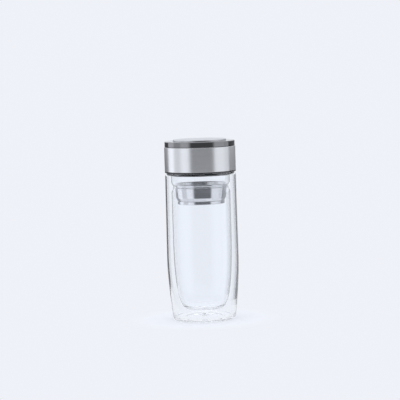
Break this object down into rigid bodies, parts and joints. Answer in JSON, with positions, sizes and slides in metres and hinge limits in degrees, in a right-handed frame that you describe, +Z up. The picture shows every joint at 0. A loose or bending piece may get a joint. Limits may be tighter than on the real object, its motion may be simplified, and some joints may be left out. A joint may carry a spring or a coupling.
{
  "type": "glass tumbler with infuser",
  "caption": "Double-wall glass tumbler with a steel-sleeved screw cap and a short strainer infuser that hangs in its neck.",
  "frame": {"origin": "middle of the foot, on the surface that the tumbler stands on", "axes": "+Z up along the tumbler's axis; +X and +Y lie across it, and -Y is the side seen in the picture"},
  "size_m": [0.0708, 0.0708, 0.1777],
  "materials": {
    "clear_glass": "clear blown borosilicate glass, polished",
    "brushed_steel": "brushed round the cap",
    "polished_steel": "bright polished stainless steel",
    "dark_chrome": "dark polished plating",
    "dark_plastic": "fine matt",
    "clear_silicone": "translucent silicone"
  },
  "bodies": {
    "glass": {"outer_glass_wall": "clear_glass", "inner_glass_wall": "clear_glass", "vent_plug": "clear_silicone"},
    "infuser": {"infuser_cup": "polished_steel", "infuser_collar": "clear_silicone", "infuser_strainer_plate": "polished_steel", "infuser_base_ring": "polished_steel"},
    "cap_seal": {"cap_gasket": "clear_silicone"},
    "cap": {"cap_liner": "dark_plastic", "cap_sleeve": "brushed_steel", "cap_crown_ring": "dark_chrome", "cap_top_disc": "polished_steel"}
  },
  "joints": [
    {"name": "infuser_lift", "type": "slide", "parent": "glass", "child": "infuser", "axis": [0, 0, 1], "range_m": [0, 0.028]},
    {"name": "cap_rise", "type": "slide", "parent": "glass", "child": "cap_seal", "axis": [0, 0, 1], "range_m": [0, 0.0271]},
    {"name": "cap_turn", "type": "hinge", "parent": "cap_seal", "child": "cap", "pos_m": [0, 0, 0.155], "axis": [0, 0, 1], "range_deg": [0, 1620]}
  ],
  "couplings": [
    {"joint": "cap_rise", "follows": "cap_turn", "m_per_rad": 0.00095493}
  ]
}
